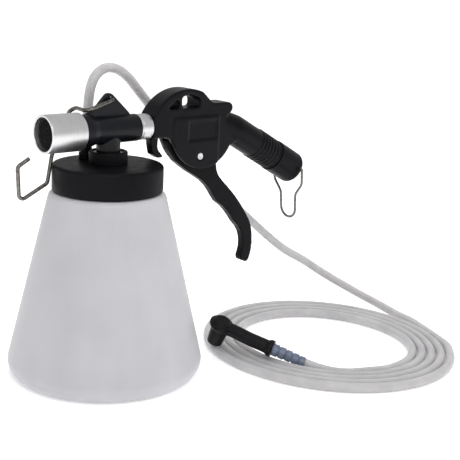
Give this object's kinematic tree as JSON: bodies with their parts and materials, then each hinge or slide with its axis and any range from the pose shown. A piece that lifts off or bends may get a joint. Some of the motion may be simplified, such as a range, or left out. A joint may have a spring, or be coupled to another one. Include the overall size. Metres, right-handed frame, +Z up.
{
  "type": "pneumatic brake fluid extractor",
  "caption": "Conical milky bottle with a screw cap, a venturi tee with muffler, a trigger blow-gun handle, hanging hooks and a coiled suction hose with a rubber nipple cup.",
  "frame": {"origin": "centre of the bottle's flat base", "axes": "+X along the venturi and gun towards the handle, +Y to the hose fitting's side, +Z up"},
  "size_m": [0.3218, 0.2207, 0.2072],
  "materials": {
    "bottle_hdpe": "milky translucent, satin",
    "cap_black": "fine matt moulding",
    "gun_black": "satin moulding",
    "venturi_black": "semi-gloss moulding",
    "end_cap_black": "satin moulding",
    "aluminium": "turned and fine brushed",
    "steel_wire": "drawn wire, semi-bright",
    "pin_steel": "bright rivet",
    "brass": "turned",
    "seal_rubber": "matt",
    "elbow_rubber": "satin moulded rubber",
    "foam": "dark porous",
    "hose_clear": "milky clear tube",
    "adapter_plastic": "smoky blue-grey translucent",
    "drop_tube_plastic": "milky clear tube"
  },
  "bodies": {
    "head": {"cap": "cap_black", "cap_gasket": "seal_rubber", "stem_nut": "cap_black", "stem_ring": "pin_steel", "stem_locknut": "cap_black", "stem_seal": "seal_rubber", "venturi_body": "venturi_black", "venturi_jet": "brass", "muffler_tube": "aluminium", "muffler_insert": "foam", "collar": "aluminium", "gun_body": "gun_black", "pivot_pin": "pin_steel", "valve_sleeve": "brass", "valve_spring": "steel_wire", "valve_plug": "brass", "end_cap": "end_cap_black", "inlet_bushing": "brass", "inlet_seal": "seal_rubber", "hose_fitting": "cap_black", "fitting_locknut": "cap_black", "drop_tube": "drop_tube_plastic", "hose_run": "hose_clear", "hose_coil": "hose_clear", "hose_tail": "hose_clear", "hose_adapter": "adapter_plastic", "elbow": "elbow_rubber"},
    "bottle": {"bottle": "bottle_hdpe"},
    "trigger": {"trigger_lever": "gun_black"},
    "valve": {"valve_stem": "brass", "valve_seal": "seal_rubber"},
    "bail": {"bail": "steel_wire"},
    "hook": {"hook": "steel_wire"}
  },
  "joints": [
    {"name": "bottle_turn", "type": "hinge", "parent": "head", "child": "bottle", "pos_m": [0, 0, 0.13], "axis": [0, 0, -1], "range_deg": [0, 540]},
    {"name": "trigger_pull", "type": "hinge", "parent": "head", "child": "trigger", "pos_m": [0.072, 0, 0.144], "axis": [0, -1, 0], "range_deg": [0, 20], "stiffness_Nm_per_rad": 0.6, "springref_deg": -34.38},
    {"name": "valve_lift", "type": "slide", "parent": "head", "child": "valve", "axis": [0, 0, 1], "range_m": [0, 0.0045], "deforming": ["valve_spring"]},
    {"name": "bail_swing", "type": "hinge", "parent": "head", "child": "bail", "pos_m": [0.16814, 0, 0.12714], "axis": [0, -1, 0], "range_deg": [-22, 140]},
    {"name": "hook_swing", "type": "hinge", "parent": "head", "child": "hook", "pos_m": [0.0007, 0, 0.1863], "axis": [0, 1, 0], "range_deg": [0, 80]}
  ],
  "couplings": [
    {"joint": "valve_lift", "follows": "trigger_pull", "m_per_rad": 0.0122}
  ]
}
